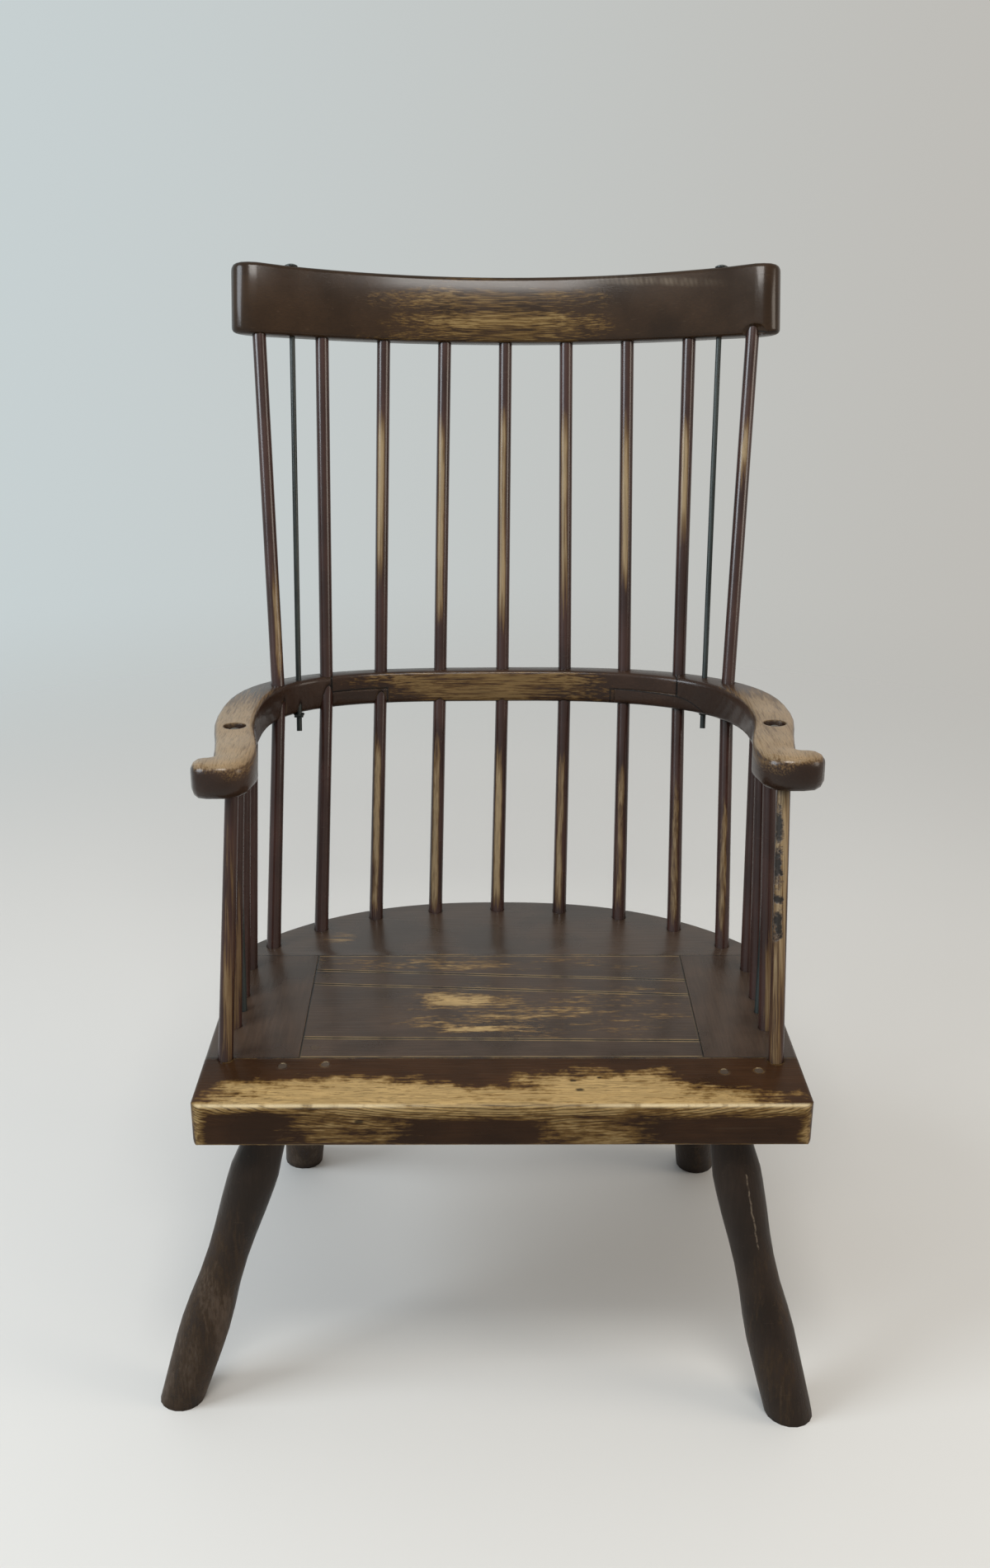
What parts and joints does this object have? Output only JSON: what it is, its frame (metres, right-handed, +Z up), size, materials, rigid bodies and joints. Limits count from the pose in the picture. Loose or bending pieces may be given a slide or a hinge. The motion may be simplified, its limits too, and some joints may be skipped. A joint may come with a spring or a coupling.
{
  "type": "comb-back stick armchair",
  "caption": "Dark waxed country armchair with a boarded D-shaped seat, splayed turned legs, a three-part lapped arm bow and a curved comb tied down by iron rods.",
  "frame": {"origin": "middle of the chair's footprint box, at floor level", "axes": "+Z up, +X to the right as the chair is seen from the front, +Y from the front of the seat to the back"},
  "size_m": [0.7004, 0.7359, 1.1248],
  "materials": {
    "comb_wood": "satin",
    "bow_wood": "satin",
    "stick_wood": "satin",
    "seat_wood": "satin",
    "leg_wood": "matte",
    "rod_iron": "satin"
  },
  "bodies": {
    "root": {"seat_front_rail": "seat_wood", "seat_back_rail": "seat_wood", "seat_side_rail_left": "seat_wood", "seat_side_rail_right": "seat_wood", "seat_board_1": "seat_wood", "seat_board_2": "seat_wood", "seat_board_3": "seat_wood", "seat_board_4": "seat_wood", "board_pegs": "seat_wood", "rail_pegs": "seat_wood", "leg_front_left": "leg_wood", "leg_front_right": "leg_wood", "leg_rear_left": "leg_wood", "leg_rear_right": "leg_wood", "arm_left": "bow_wood", "arm_right": "bow_wood", "bow_centre": "bow_wood", "comb_rail": "comb_wood", "back_stick_1": "stick_wood", "back_stick_2": "stick_wood", "back_stick_3": "stick_wood", "back_stick_4": "stick_wood", "back_stick_5": "stick_wood", "back_stick_6": "stick_wood", "back_stick_7": "stick_wood", "back_stick_8": "stick_wood", "back_stick_9": "stick_wood", "arm_stick_left_1": "stick_wood", "arm_stick_left_2": "stick_wood", "arm_stick_left_3": "stick_wood", "arm_stick_left_4": "stick_wood", "arm_stick_right_1": "stick_wood", "arm_stick_right_2": "stick_wood", "arm_stick_right_3": "stick_wood", "arm_stick_right_4": "stick_wood", "comb_rod_left": "rod_iron", "comb_rod_right": "rod_iron", "arm_rod_left": "rod_iron", "arm_rod_right": "rod_iron", "comb_rod_nuts": "rod_iron", "arm_rod_nuts": "rod_iron"}
  },
  "joints": []
}
